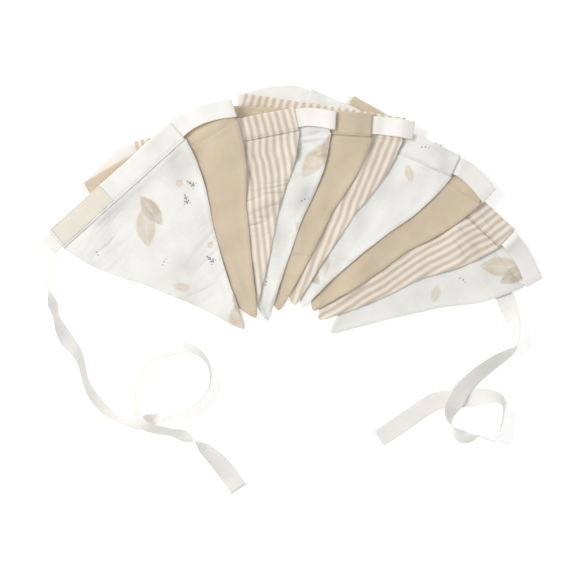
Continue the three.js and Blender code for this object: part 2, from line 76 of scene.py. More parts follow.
# The flags, top one first: where the tip lies, how far the centre line leans to the right,
# how far the lower edges draw in, how far the cloth is pushed together below the casing, the
# turn of the cloth's threads, how much less they turn in the casing, how strongly the cloth
# is creased, and a number that sets the waves and the place of the print.
FLAG_COLUMNS = (
    "number", "cloth", "x", "y", "lean", "waist", "slump", "threads", "casing_turn", "creases", "seed",
)
FLAGS = [
    dict(zip(FLAG_COLUMNS, row))
    for row in (
        (1, "print", -45.8, -38.6, -41.6, 2.3, 0.0, 2.0, 0.0, 0.8, 11),
        (2, "sand", -34.2, -27.6, -29.9, 0.0, 0.0, -2.0, 0.0, 0.7, 12),
        (3, "stripe", -37.0, -25.2, -11.5, -1.5, 8.5, -5.0, -9.0, 1.3, 13),
        (4, "print", -23.0, -30.9, -5.7, 1.5, 0.0, -3.0, 0.0, 1.5, 14),
        (5, "sand", -11.7, -20.5, 3.6, -2.0, 1.5, 1.0, 0.0, 1.1, 15),
        (6, "stripe", 3.4, -15.6, 8.9, 0.7, 1.0, -12.0, -5.0, 1.0, 16),
        (7, "print", 11.8, -17.1, 24.4, 2.5, 0.0, 2.0, 0.0, 1.1, 17),
        (8, "sand", 22.5, -20.5, 32.9, -2.5, 0.0, -3.0, 0.0, 0.8, 18),
        (9, "stripe", 28.5, -29.5, 43.2, -3.0, 3.5, -15.0, -5.0, 1.1, 19),
        (10, "print", 40.2, -42.8, 52.2, 1.0, 0.0, -2.0, 0.0, 0.6, 20),
    )
]

# The print's repeat: what, where its middle lies, how it is turned, its length and its tone
MOTIF_COLUMNS = ("kind", "x", "y", "turn", "size", "tone")
PRINT_REPEAT = (150.0, 134.0)
PRINT_MOTIFS = [
    dict(zip(MOTIF_COLUMNS, row))
    for row in (
        ("leaf", 36.0, 44.0, 52.0, 44.0, "beige"),
        ("leaf", 51.0, 36.0, 84.0, 38.0, "taupe"),
        ("leaf", 112.0, 104.0, -32.0, 42.0, "taupe"),
        ("leaf", 124.0, 90.0, -58.0, 30.0, "beige"),
        ("leaf", 20.0, 112.0, 128.0, 22.0, "beige"),
        ("sprig", 84.0, 52.0, 62.0, 11.0, "slate"),
        ("sprig", 98.0, 44.0, 104.0, 10.0, "slate"),
        ("sprig", 60.0, 112.0, 96.0, 10.5, "slate"),
        ("blossom", 90.0, 36.0, 10.0, 9.0, "blush"),
        ("blossom", 70.0, 102.0, 25.0, 8.0, "blush"),
        ("seeds", 24.0, 82.0, 20.0, 9.0, "slate"),
        ("seeds", 132.0, 30.0, 75.0, 8.0, "slate"),
    )
]
TONES = {
    "taupe": (0.57, 0.47, 0.36),
    "beige": (0.72, 0.61, 0.46),
    "blush": (0.80, 0.62, 0.50),
    "slate": (0.16, 0.17, 0.16),
}

# Grids
PANEL_ACROSS = 84
PANEL_DOWN = 120
CASING_ALONG = 84
CASING_ROUND = 21
ROUTE_STEPS = 3

# Sewing
SEAM_HALF = 0.42
STITCH_LINE = -1.7
STITCH_PITCH = 3.1
# How dark the painted shadow along each casing's foot is, for each cloth
PAINTED_SEAM_SHADOW_DEPTHS = {"print": 0.2, "sand": 0.3, "stripe": 0.36}


# Places on a flag

def flag_plan(flag, across, down):
    """Turns places on a flag, across from its middle and down from its stitch line, into x, y.

    The flag's centre line leans from its tip; across runs square to it.
    """
    lean = math.radians(flag["lean"])
    rise = FLAG_DROP - down - flag["slump"] * np.clip(1 - down / SLUMP_DROP, 0, 1)
    x = flag["x"] + rise * math.sin(lean) + across * math.cos(lean)
    y = flag["y"] + rise * math.cos(lean) - across * math.sin(lean)
    return x, y


def half_width(flag, down):
    """Half the flag's width: straight to the tip, plus a sine shoulder, less a sine waist.

    The last few millimetres are rounded by the root of one less a square.
    """
    straight = TIP_WIDTH / 2 + (FLAG_WIDTH - TIP_WIDTH) / 2 * (1 - down / FLAG_DROP)
    shoulder = SHOULDER * np.sin(math.pi * np.clip(down / SHOULDER_DROP, 0, 1))
    share = np.clip((down - SHOULDER_DROP) / (FLAG_DROP - SHOULDER_DROP), 0, 1)
    shaped = straight + shoulder - flag["waist"] * np.sin(math.pi * share)
    past = np.clip((down - FLAG_DROP + ROUND_TIP) / ROUND_TIP, 0, 1)
    shaped = shaped * np.sqrt(1.02 - past * past)
    return np.where(down <= 0, FLAG_WIDTH / 2, shaped)


def frame_shift():
    """The step from the tables' own origin to the frame's, from the top flag's lowest corner."""
    flag = FLAGS[0]
    across = np.array([-FLAG_WIDTH / 2, -TIP_WIDTH / 2, TIP_WIDTH / 2])
    down = np.array([-CASING_DEPTH, FLAG_DROP, FLAG_DROP])
    x, y = flag_plan(flag, across, down)
    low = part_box("flag_1")[0]
    return low.x / MM - x.min(), low.y / MM - y.min()


SHIFT_X, SHIFT_Y = frame_shift()


def node_triangles(node):
    """All triangles of a solid, as an array of corners in millimetres."""
    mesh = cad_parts[node].data
    mesh.calc_loop_triangles()
    places = np.zeros(len(mesh.vertices) * 3)
    mesh.vertices.foreach_get("co", places)
    corners = np.zeros(len(mesh.loop_triangles) * 3, dtype=np.int32)
    mesh.loop_triangles.foreach_get("vertices", corners)
    return places.reshape(-1, 3)[corners].reshape(-1, 3, 3) / MM


def roof(node, x, y):
    """The height of a solid's upper side at each place, from the planes of its triangles.

    Each place is tested against every triangle by its barycentric shares at once, and the
    highest hit is kept.
    """
    a, b, c = np.moveaxis(node_triangles(node), 1, 0)
    area = (b[:, 0] - a[:, 0]) * (c[:, 1] - a[:, 1]) - (c[:, 0] - a[:, 0]) * (b[:, 1] - a[:, 1])
    up = area > 1e-3
    a, b, c, area = a[up], b[up], c[up], area[up]
    px, py = x.reshape(-1, 1), y.reshape(-1, 1)
    q = ((px - a[:, 0]) * (c[:, 1] - a[:, 1]) - (c[:, 0] - a[:, 0]) * (py - a[:, 1])) / area
    s = ((b[:, 0] - a[:, 0]) * (py - a[:, 1]) - (px - a[:, 0]) * (b[:, 1] - a[:, 1])) / area
    inside = (q > -1e-3) & (s > -1e-3) & (q + s < 1 + 1e-3)
    height = a[:, 2] + q * (b[:, 2] - a[:, 2]) + s * (c[:, 2] - a[:, 2])
    return np.where(inside, height, -1.0).max(axis=1).reshape(x.shape)


def softened(field, passes):
    """Smooths a grid of heights: each pass averages each value with its four neighbours."""
    for _ in range(passes):
        wide = np.pad(field, 1, mode="edge")
        around = wide[:-2, 1:-1] + wide[2:, 1:-1] + wide[1:-1, :-2] + wide[1:-1, 2:]
        field = 0.5 * field + 0.125 * around
    return field


def ripple(across, down, seed, pitch):
    """Soft uneven waves from -1 to 1: a sum of seven turned sines with seeded phases."""
    random = np.random.default_rng(seed)
    total = np.zeros(np.broadcast(across, down).shape)
    for _ in range(7):
        turn, phase = random.uniform(0, 2 * math.pi, 2)
        length = pitch * random.uniform(0.6, 1.7)
        way = across * math.cos(turn) + down * math.sin(turn)
        total += np.sin(2 * math.pi * way / length + phase)
    return total / 7


# Meshes

def grid_faces(rows, columns, start=0, closed=False):
    """Quads of a grid of points in row order; closed joins the last column to the first."""
    row = np.arange(rows - 1).reshape(-1, 1) * columns
    column = np.arange(columns if closed else columns - 1)
    after = (column + 1) % columns
    quads = np.stack([row + column, row + after, row + columns + after, row + columns + column], axis=-1)
    return quads.reshape(-1, 4) + start


def make_mesh(name, points, quads, texture):
    """A smooth mesh object of points in millimetres, with its flat places as a UV map in metres."""
    mesh = bpy.data.meshes.new(name)
    mesh.from_pydata((points * MM).tolist(), [], quads.tolist())
    layer = mesh.uv_layers.new(name="cloth")
    corners = np.zeros(len(mesh.loops), dtype=np.int32)
    mesh.loops.foreach_get("vertex_index", corners)
    layer.data.foreach_set("uv", (texture[corners] * MM).ravel())
    mesh.polygons.foreach_set("use_smooth", np.ones(len(mesh.polygons), dtype=bool))
    mesh.validate()
    mesh.update()
    piece = bpy.data.objects.new(name, mesh)
    bpy.context.scene.collection.objects.link(piece)
    return piece


def outwards(points, quads):
    """Turns all quads over where the closed surface that they make holds a negative volume."""
    a, b, c, d = (points[quads[:, k]] for k in range(4))
    volume = np.einsum("ij,ij->", a, np.cross(b, c)) + np.einsum("ij,ij->", a, np.cross(c, d))
    return quads if volume > 0 else quads[:, ::-1]


def shell(lower, upper):
    """The closed surface between two grids of points, with a row of quads around its rim."""
    rows, columns = upper.shape[:2]
    layer = rows * columns
    rim = np.concatenate([
        np.arange(columns),
        np.arange(1, rows) * columns + columns - 1,
        (rows - 1) * columns + np.arange(columns - 2, -1, -1),
        np.arange(rows - 2, 0, -1) * columns,
    ])
    after = np.roll(rim, -1)
    wall = np.stack([rim, after, after + layer, rim + layer], axis=1)
    top = grid_faces(rows, columns, layer)
    base = grid_faces(rows, columns)[:, ::-1]
    points = np.concatenate([lower.reshape(-1, 3), upper.reshape(-1, 3)])
    return points, outwards(points, np.concatenate([top, base, wall[:, ::-1]]))


def joined(parts):
    """Joins meshes given as (points, quads, texture) into one such set of arrays."""
    counts = np.cumsum([0] + [len(points) for points, _, _ in parts[:-1]])
    points = np.concatenate([points for points, _, _ in parts])
    quads = np.concatenate([quads + start for (_, quads, _), start in zip(parts, counts)])
    texture = np.concatenate([texture for _, _, texture in parts])
    return points, quads, texture


# Flags

def casing_middle(flag, across):
    """Height of the middle of a casing along its length, from its solid."""
    inset = np.clip(across, -FLAG_WIDTH / 2 + 0.8, FLAG_WIDTH / 2 - 0.8)
    x, y = flag_plan(flag, inset, np.full_like(inset, -CASING_DEPTH / 2))
    height = roof(f"flag_{flag['number']}", x + SHIFT_X, y + SHIFT_Y)
    return softened(height.reshape(1, -1), 4).ravel() - CASING_THICKNESS / 2


def casing_half(down):
    """Half the thickness of a casing: round at its fold and pinched flat at its stitch line."""
    from_fold = np.clip((down + CASING_DEPTH) / 1.9, 0, 1)
    full = CASING_THICKNESS / 2 * np.sqrt(1 - (1 - from_fold) ** 2)
    from_seam = np.clip(-down / 4.2, 0, 1)
    eased = from_seam * from_seam * (3 - 2 * from_seam)
    return np.where(down > -5, SEAM_HALF + (full - SEAM_HALF) * eased, full)


def hem_rise(flag, down):
    """How far the casing's hem stands up past its stitch line, where it is sewn on from above."""
    if not sewn_above(flag):
        return np.zeros_like(down)
    groove = 0.3 * np.exp(-((down - STITCH_LINE) / 0.6) ** 2)
    return 0.42 * np.clip((down + 2.4) / 1.6, 0, 1) - groove


def sewn_above(flag):
    """Odd flags lie with the casing's hem upwards, and even ones are turned over."""
    return flag["number"] % 2 == 1


def casing_surface(flag, puff):
    """A sleeve: a profile around the tape's tunnel, carried along the casing.

    The profile is the upper side from fold to stitch line and the lower side back; the
    inner wall is the same profile drawn in.
    """
    along = np.linspace(-FLAG_WIDTH / 2, FLAG_WIDTH / 2, CASING_ALONG)
    share = (1 - np.cos(np.linspace(0, math.pi, CASING_ROUND))) / 2
    down = -CASING_DEPTH + CASING_DEPTH * share
    half = casing_half(down)
    ring_down = np.concatenate([down, down[::-1]])
    ring_height = np.concatenate([half, -half[::-1]])
    ring_height[0] = 0.12
    ring_height[-1] = -0.12
    middle = casing_middle(flag, along).reshape(-1, 1)
    across = np.repeat(along.reshape(-1, 1), len(ring_down), axis=1)
    downs = np.repeat(ring_down.reshape(1, -1), len(along), axis=0)
    wave = ripple(across, downs, flag["seed"] + 40, 19.0)
    gather = np.exp(-((downs + 2.5) / 3.5) ** 2) * np.sin(across / 3.1 + 2 * wave)
    upper = np.sign(ring_height)
    swell = 1 + puff * 0.16 * wave * np.clip(-downs / 6, 0, 1)
    outer_height = middle + ring_height * swell
    outer_height = outer_height + np.where(upper > 0, 0.22 * gather + hem_rise(flag, downs), 0.0)
    fold_wave = 0.35 * ripple(across, downs, flag["seed"] + 60, 38.0)
    outer_down = downs + fold_wave * (downs < -CASING_DEPTH / 2)
    inner_down = -12.3 + (outer_down + 11.5) * 0.87
    inner_height = middle + ring_height * 0.66
    parts = []
    for ring, height in ((outer_down, outer_height), (inner_down, inner_height)):
        x, y = flag_plan(flag, across, ring)
        parts.append(np.stack([x + SHIFT_X, y + SHIFT_Y, np.maximum(height, 0.02)], axis=-1))
    count = len(ring_down)
    layer = len(along) * count
    points = np.concatenate([part.reshape(-1, 3) for part in parts])
    outer = grid_faces(len(along), count, closed=True)
    inner = grid_faces(len(along), count, layer, closed=True)[:, ::-1]
    edge = np.arange(count)
    after = (edge + 1) % count
    last = (len(along) - 1) * count
    first_end = np.stack([edge, edge + layer, after + layer, after], axis=1)
    last_end = np.stack([edge, after, after + layer, edge + layer], axis=1) + last
    quads = outwards(points, np.concatenate([outer, inner, first_end, last_end]))
    turned = across + outer_down * math.tan(math.radians(flag["casing_turn"]))
    texture = np.stack([turned, outer_down], axis=-1).reshape(-1, 2)
    return points, quads, np.concatenate([texture, texture])


def panel_rows():
    """Places down the panel: from just inside the casing, closer together at seam and tip."""
    share = np.linspace(0, 1, PANEL_DOWN)
    eased = share - 0.8 * np.sin(2 * math.pi * share) / (2 * math.pi)
    return -1.6 + (FLAG_DROP + 1.6) * eased


def panel_surface(flag, puff, crumple):
    """The triangular panel: two layers turned out and pressed, thicker along its seams.

    Across runs from edge to edge with a cosine's spacing; the middle height is the
    solid's, softened, plus soft waves that die out away from the casing.
    """
    down = np.repeat(panel_rows().reshape(-1, 1), PANEL_ACROSS, axis=1)
    even = np.linspace(-1, 1, PANEL_ACROSS)
    spread = 0.45 * even + 0.55 * np.sin(even * math.pi / 2)
    half = half_width(flag, down)
    side_of = 40 * np.sign(spread)
    edge_wave = 0.6 * ripple(side_of, down, flag["seed"] + 5, 46.0)
    edge_wave = edge_wave + 0.3 * ripple(side_of, down, flag["seed"] + 6, 9.0)
    across = spread * (half + edge_wave * np.clip(down / 20, 0, 1) * np.clip((FLAG_DROP - down) / 12, 0, 1))
    inset_down = np.clip(down, 0.4, FLAG_DROP - 1.2)
    inset = np.clip(spread, -0.975, 0.975) * half_width(flag, inset_down) * 0.985
    x, y = flag_plan(flag, inset, inset_down)
    node = f"flag_{flag['number']}"
    height = softened(roof(node, x + SHIFT_X, y + SHIFT_Y), 14) - PANEL_THICKNESS / 2
    seam = casing_middle(flag, across[0]) - (0.3 if sewn_above(flag) else 0.0)
    blend = np.clip(down / 7, 0, 1)
    height = seam * (1 - blend) + height * blend
    side = (1 - np.abs(spread)) * half
    from_edge = np.minimum(side, FLAG_DROP + 0.6 - down)
    near = np.clip(down / 9, 0, 1) * np.exp(-np.maximum(down, 0) / 34)
    gather = np.sin(across / 5.2 + 2.2 * ripple(across, down, flag["seed"] + 9, 60.0))
    soft = ripple(across, down, flag["seed"], 52.0)
    fine = ripple(across, down, flag["seed"] + 3, 21.0)
    calm = np.clip(down / 14, 0, 1) * np.clip((FLAG_DROP - down) / 20, 0, 1)
    stir = crumple * flag["creases"]
    lift = stir * (0.6 * near * gather + calm * (1.05 * soft + 0.42 * fine))
    bulge = np.exp(-((down - 24 - 5 * soft) / 9) ** 2) * (0.7 + 0.5 * fine)
    lift = lift + 0.3 * flag["slump"] * bulge
    ridge = np.exp(-((from_edge - 3.2) / 2.6) ** 2)
    round_edge = np.sqrt(1 - (1 - np.clip(from_edge / 1.3, 0, 1)) ** 2)
    pucker = 1 + 0.3 * ripple(side_of, down, flag["seed"] + 7, 8.0)
    full = puff * 0.8 * ridge * pucker * np.clip(down / 6, 0, 1)
    thick = (2 * SEAM_HALF + full) * np.maximum(round_edge, 0.14)
    middle = height + lift
    x, y = flag_plan(flag, across, down)
    plan = [x + SHIFT_X, y + SHIFT_Y]
    low = np.maximum(middle - thick / 2, 0.02)
    lower = np.stack([*plan, low], axis=-1)
    upper = np.stack([*plan, np.maximum(middle + thick / 2, low + 0.1)], axis=-1)
    points, quads = shell(lower, upper)
    sway = 0.16 * flag["slump"] * np.sin(down / 8.5 + soft) * np.exp(-np.maximum(down, 0) / 38)
    texture = np.stack([across + sway, down], axis=-1).reshape(-1, 2)
    return points, quads, np.concatenate([texture, texture])


def stitch_places(flag):
    """Middles and heights of the stitches along the stitch line, on the upper side."""
    count = int((FLAG_WIDTH - 8) / STITCH_PITCH)
    along = (np.arange(count) - (count - 1) / 2) * STITCH_PITCH
    down = np.full(count, STITCH_LINE)
    return along, down, casing_middle(flag, along) + SEAM_HALF + hem_rise(flag, down) + 0.15


def stitching_surface(flag, length, thread):
    """Stitches as small closed spindles: six-sided rings whose radius is a half sine."""
    along, down, height = stitch_places(flag)
    rings = 6
    sides = 6
    share = np.linspace(0, 1, rings)
    radius = thread / 2 * np.maximum(np.sqrt(np.sin(math.pi * share)), 0.1)
    angle = np.arange(sides) * 2 * math.pi / sides
    step = ((share - 0.5) * length).reshape(1, -1, 1)
    u = along.reshape(-1, 1, 1) + step + 0 * angle
    v = down.reshape(-1, 1, 1) + radius.reshape(1, -1, 1) * np.cos(angle)
    z = height.reshape(-1, 1, 1) + radius.reshape(1, -1, 1) * np.sin(angle) * 0.8
    v = v + 0 * u
    z = z + 0 * u
    x, y = flag_plan(flag, u, v)
    points = np.stack([x + SHIFT_X, y + SHIFT_Y, z], axis=-1).reshape(-1, 3)
    one = grid_faces(rings, sides, closed=True)
    cap = np.array([[0, 1, 2, 3], [0, 3, 4, 5]])
    far_cap = cap[:, ::-1] + (rings - 1) * sides
    one = np.concatenate([one[:, ::-1], cap, far_cap])
    first = points[: rings * sides]
    one = outwards(first - first.mean(axis=0), one)
    starts = np.arange(len(along)) * rings * sides
    quads = (one[None] + starts[:, None, None]).reshape(-1, 4)
    texture = np.stack([u, v], axis=-1).reshape(-1, 2)
    return points, quads, texture


# Tape

def tape_sections():
    """The route of the tape's solid: its sections' middles, half widths and normals.

    The solid is a chain of four-cornered sections, so the corners that are k edges away
    from the end of the left tie make section k.
    """
    corners = node_triangles("tape")
    flat = np.round(corners.reshape(-1, 3), 2)
    places, index = np.unique(flat, axis=0, return_inverse=True)
    faces = index.reshape(-1, 3)
    edges = np.concatenate([faces[:, [0, 1]], faces[:, [1, 2]], faces[:, [2, 0]]])
    edges = np.concatenate([edges, edges[:, ::-1]])
    start = np.array([TAPE_START[0] + SHIFT_X, TAPE_START[1] + SHIFT_Y])
    level = np.full(len(places), -1)
    level[np.argsort(np.linalg.norm(places[:, :2] - start, axis=1))[:4]] = 0
    step = 0
    while (level < 0).any():
        reached = edges[(level[edges[:, 0]] == step) & (level[edges[:, 1]] < 0), 1]
        if len(reached) == 0:
            raise RuntimeError("the tape's solid is not one chain of sections")
        step += 1
        level[reached] = step
    sizes = np.bincount(level)
    if not (sizes == 4).all():
        raise RuntimeError("a section of the tape's solid hasn't four corners")
    sections = places[np.argsort(level, kind="stable")].reshape(-1, 4, 3)
    return matched(sections)


def matched(sections):
    """Puts each section's corners in the order of the one before, by the nearest match."""
    orders = np.array(list(itertools.permutations(range(4))))
    first = sections[0]
    gaps = np.linalg.norm(first - first[0], axis=1)
    ranks = np.argsort(gaps)
    ordered = [first[[0, ranks[2], ranks[1], ranks[3]]]]
    for section in sections[1:]:
        before = ordered[-1] - ordered[-1].mean(axis=0)
        moved = section - section.mean(axis=0)
        costs = np.linalg.norm(moved[orders] - before, axis=2).sum(axis=1)
        ordered.append(section[orders[costs.argmin()]])
    ordered = np.array(ordered)
    middle = ordered.mean(axis=1)
    half = (ordered[:, 1] - ordered[:, 0] + ordered[:, 3] - ordered[:, 2]) / 4
    normal = ordered[:, 2] - ordered[:, 0] + ordered[:, 3] - ordered[:, 1]
    return middle, half, normal / np.linalg.norm(normal, axis=1, keepdims=True)


def smooth_between(values, distance, steps):
    """Cubic Hermite curves through rows of values, with central differences as slopes."""
    slope = np.gradient(values, distance, axis=0)
    gap = np.diff(distance).reshape(-1, 1, 1)
    share = (np.arange(steps) / steps).reshape(1, -1, 1)
    a, b = values[:-1, None], values[1:, None]
    m, n = slope[:-1, None] * gap, slope[1:, None] * gap
    square, cube = share ** 2, share ** 3
    curve = (2 * cube - 3 * square + 1) * a + (cube - 2 * square + share) * m
    curve = curve + (3 * square - 2 * cube) * b + (cube - square) * n
    return np.concatenate([curve.reshape(-1, values.shape[1]), values[-1:]])


def tape_surface(thickness):
    """A woven tape: a flat oval profile with firm edges, carried along the solid's route."""
    middle, half, normal = tape_sections()
    distance = np.concatenate([[0], np.cumsum(np.linalg.norm(np.diff(middle, axis=0), axis=1) + 1e-3)])
    both = smooth_between(np.concatenate([middle, half, normal], axis=1), distance, ROUTE_STEPS)
    middle, half, normal = both[:, :3], both[:, 3:6], both[:, 6:]
    normal = normal / np.linalg.norm(normal, axis=1, keepdims=True)
    travel = np.concatenate([[0], np.cumsum(np.linalg.norm(np.diff(middle, axis=0), axis=1))])
    place = np.array([-1, -0.975, -0.91, -0.6, -0.2, 0.2, 0.6, 0.91, 0.975, 1])
    height = np.array([0.1, 0.38, 0.46, 0.36, 0.35, 0.35, 0.36, 0.46, 0.38, 0.1]) * thickness
    place = np.concatenate([place, place[::-1]])
    height = np.concatenate([height, -height[::-1]])
    ring = middle[:, None] + half[:, None] * place[:, None] + normal[:, None] * height[:, None]
    rows, count = ring.shape[:2]
    points = ring.reshape(-1, 3)
    points[:, 2] = np.maximum(points[:, 2], 0.02)
    sides = grid_faces(rows, count, closed=True)
    pairs = np.arange(count // 2 - 1)
    cap = np.stack([pairs, pairs + 1, count - 2 - pairs, count - 1 - pairs], axis=1)
    quads = np.concatenate([sides, cap[:, ::-1], cap + (rows - 1) * count])
    across = place * TAPE_WIDTH / 2
    texture = np.stack(np.broadcast_arrays(travel[:, None], across[None]), axis=-1).reshape(-1, 2)
    return points, outwards(points, quads), texture, travel[-1]


# Tab

def tab_surface(start, end, thickness):
    """The bare tab: a thin woven strip laid over the top flag's casing, from fold to seam."""
    flag = FLAGS[0]
    along = np.repeat(np.linspace(start, end, 48).reshape(-1, 1), 18, axis=1)
    down = np.repeat(np.linspace(-22.3, -2.2, 18).reshape(1, -1), 48, axis=0)
    base = casing_middle(flag, along[:, 0]).reshape(-1, 1) + casing_half(down)
    wave = 0.12 * ripple(along, down, 77, 26.0)
    x, y = flag_plan(flag, along, down)
    low = base + 0.14 + wave
    lower = np.stack([x + SHIFT_X, y + SHIFT_Y, low], axis=-1)
    upper = np.stack([x + SHIFT_X, y + SHIFT_Y, low + thickness], axis=-1)
    points, quads = shell(lower, upper)
    texture = np.stack([along, down], axis=-1).reshape(-1, 2)
    return points, quads, np.concatenate([texture, texture])


# Shader node helpers

class Tree:
    """A short way to add and join the nodes of a material or a group."""

    def __init__(self, tree):
        self.tree = tree

    def add(self, kind, **values):
        """Adds a node; values are its properties, or its inputs by index as in0, in1."""
        node = self.tree.nodes.new(kind)
        for name, value in values.items():
            if name.startswith("in") and name[2:].isdigit():
                self.feed(node.inputs[int(name[2:])], value)
            else:
                setattr(node, name, value)
        return node

    def feed(self, socket, value):
        """Links an output to a socket, or sets the socket's own value."""
        if isinstance(value, bpy.types.NodeSocket):
            self.tree.links.new(value, socket)
        else:
            socket.default_value = value

    def math(self, operation, a, b=0.0, c=0.0, clamp=False):
        node = self.add("ShaderNodeMath", operation=operation, use_clamp=clamp, in0=a, in1=b, in2=c)
        return node.outputs[0]

    def vector(self, operation, a, b=(0.0, 0.0, 0.0)):
        node = self.add("ShaderNodeVectorMath", operation=operation, in0=a, in1=b)
        return node.outputs[0]

    def noise(self, place, scale, detail=2.0):
        node = self.add("ShaderNodeTexNoise", in0=place, in2=scale, in3=detail)
        return node.outputs[0]

    def between(self, value, low, high, first=0.0, last=1.0):
        node = self.add("ShaderNodeMapRange", interpolation_type="SMOOTHSTEP")
        self.feed(node.inputs[0], value)
        for index, number in enumerate((low, high, first, last), start=1):
            self.feed(node.inputs[index], number)
        return node.outputs[0]

    def mix(self, share, a, b, kind="MIX"):
        node = self.add("ShaderNodeMix", data_type="RGBA", blend_type=kind)
        self.feed(node.inputs[0], share)
        self.feed(node.inputs[6], a)
        self.feed(node.inputs[7], b)
        return node.outputs[2]


def new_group(name, inputs, outputs):
    """An empty node group with named sockets, and its tree, input node and output node."""
    group = bpy.data.node_groups.new(name, "ShaderNodeTree")
    for label, kind, default in inputs:
        socket = group.interface.new_socket(name=label, in_out="INPUT", socket_type=kind)
        if default is not None:
            socket.default_value = default
    for label, kind in outputs:
        group.interface.new_socket(name=label, in_out="OUTPUT", socket_type=kind)
    tree = Tree(group)
    return group, tree, tree.add("NodeGroupInput"), tree.add("NodeGroupOutput")


def weave_group():
    """Plain weave: warp and weft as crossed sines, with slubs of stretched noise."""
    inputs = (
        ("Place", "NodeSocketVector", None),
        ("Threads", "NodeSocketFloat", 1500.0),
        ("Slub", "NodeSocketFloat", 0.5),
    )
    outputs = (("Height", "NodeSocketFloat"), ("Shade", "NodeSocketFloat"))
    group, tree, source, result = new_group("Plain weave", inputs, outputs)
    place, threads, slub = source.outputs[:3]
    apart = tree.add("ShaderNodeSeparateXYZ", in0=place)
    full_turn = tree.math("MULTIPLY", threads, math.pi)
    warp = tree.math("SINE", tree.math("MULTIPLY", apart.outputs[0], full_turn))
    weft = tree.math("SINE", tree.math("MULTIPLY", apart.outputs[1], full_turn))
    crossing = tree.math("MULTIPLY", warp, weft)
    along = tree.noise(tree.vector("MULTIPLY", place, (900.0, 60.0, 1.0)), 1.0, 3.0)
    around = tree.noise(tree.vector("MULTIPLY", place, (60.0, 900.0, 1.0)), 1.0, 3.0)
    streaks = tree.math("ADD", along, around)
    height = tree.math("MULTIPLY_ADD", crossing, 0.35, streaks)
    centred = tree.math("SUBTRACT", streaks, 1.0)
    shade = tree.math("MULTIPLY_ADD", centred, slub, 1.0)
    tree.feed(result.inputs[0], height)
    tree.feed(result.inputs[1], shade)
    return group


def painted_seam_shadow_group():
    """Painted shadow along a casing's foot: a soft line of painted shade under the hem, and dashes of painted
    shade between the stitches above it, which also stand for the needle's holes.
    """
    inputs = (("Place", "NodeSocketVector", None), ("Depth", "NodeSocketFloat", 0.3))
    group, tree, source, result = new_group("Seam shade", inputs, (("Shade", "NodeSocketFloat"),))
    apart = tree.add("ShaderNodeSeparateXYZ", in0=source.outputs[0])
    along, down = apart.outputs[:2]
    # painted shadow under the hem's edge
    from_hem = tree.math("ABSOLUTE", tree.math("SUBTRACT", down, 0.0006))
    hem = tree.between(from_hem, 0.0003, 0.0015, 1.0, 0.0)
    # dashes along the stitch line: painted shade between the stitches, with the needle's holes
    from_thread = tree.math("ABSOLUTE", tree.math("SUBTRACT", down, STITCH_LINE * MM))
    thread = tree.between(from_thread, 0.0003, 0.0009, 1.0, 0.0)
    turns = tree.math("MULTIPLY", along, 2 * math.pi / (STITCH_PITCH * MM))
    dashes = tree.math("MULTIPLY", thread, tree.math("MULTIPLY_ADD", tree.math("SINE", turns), 0.35, 0.5))
    uneven = tree.between(tree.noise(source.outputs[0], 90.0), 0.3, 0.7, 0.5, 1.0)
    line = tree.math("MULTIPLY", tree.math("MAXIMUM", hem, dashes), uneven)
    shade = tree.math("SUBTRACT", 1.0, tree.math("MULTIPLY", line, source.outputs[1]))
    tree.feed(result.inputs[0], shade)
    return group


def crease_group():
    """Soft folds of cloth that was put away folded: broad swells, and narrower ones across."""
    inputs = (("Place", "NodeSocketVector", None), ("Seed", "NodeSocketFloat", 0.0))
    group, tree, source, result = new_group("Soft folds", inputs, (("Height", "NodeSocketFloat"),))
    aside = tree.add("ShaderNodeCombineXYZ", in0=source.outputs[1], in1=source.outputs[1])
    place = tree.vector("ADD", source.outputs[0], aside.outputs[0])
    broad = tree.noise(place, 17.0, 1.0)
    swell = tree.between(broad, 0.15, 0.85)
    across = tree.noise(tree.vector("MULTIPLY", place, (14.0, 46.0, 1.0)), 1.0, 2.0)
    fold = tree.math("SUBTRACT", 1.0, tree.math("ABSOLUTE", tree.math("MULTIPLY_ADD", across, 4.0, -2.0)))
    sharp = tree.math("POWER", tree.math("MAXIMUM", fold, 0.0), 2.0)
    where = tree.between(tree.noise(place, 13.0, 0.0), 0.5, 0.72)
    height = tree.math("MULTIPLY_ADD", tree.math("MULTIPLY", sharp, where), 0.16, swell)
    tree.feed(result.inputs[0], height)
    return group


def motif_place_group():
    """Places of one motif in the print's repeat: moved, wrapped and turned, in metres."""
    inputs = (
        ("Place", "NodeSocketVector", None),
        ("Middle", "NodeSocketVector", None),
        ("Turn", "NodeSocketFloat", 0.0),
    )
    group, tree, source, result = new_group("Motif place", inputs, (("Place", "NodeSocketVector"),))
    repeat = (PRINT_REPEAT[0] * MM, PRINT_REPEAT[1] * MM, 1.0)
    moved = tree.vector("SUBTRACT", source.outputs[0], source.outputs[1])
    half = tuple(size / 2 for size in repeat)
    lifted = tree.vector("ADD", moved, half)
    wrapped = tree.vector("SUBTRACT", tree.vector("MODULO", tree.vector("ADD", lifted, tuple(
        20 * size for size in repeat)), repeat), half)
    apart = tree.add("ShaderNodeSeparateXYZ", in0=wrapped)
    level = tree.add("ShaderNodeCombineXYZ", in0=apart.outputs[0], in1=apart.outputs[1])
    turned = tree.add("ShaderNodeVectorRotate", rotation_type="Z_AXIS", in0=level.outputs[0])
    tree.feed(turned.inputs[3], source.outputs[2])
    tree.feed(result.inputs[0], turned.outputs[0])
    return group


def leaf_mask(tree, x, y, size):
    """A watercolour leaf: a lens whose half width is a parabola, paler along its vein."""
    half = tree.math("MULTIPLY_ADD", tree.math("POWER", tree.math("DIVIDE", x, size / 2), 2.0), -1.0, 1.0)
    room = tree.math("SUBTRACT", tree.math("MULTIPLY", half, size * 0.24), tree.math("ABSOLUTE", y))
    body = tree.between(room, -0.0004, 0.0026)
    vein = tree.between(tree.math("ABSOLUTE", y), 0.0002, 0.0014, 0.72, 1.0)
    return tree.math("MULTIPLY", body, vein)


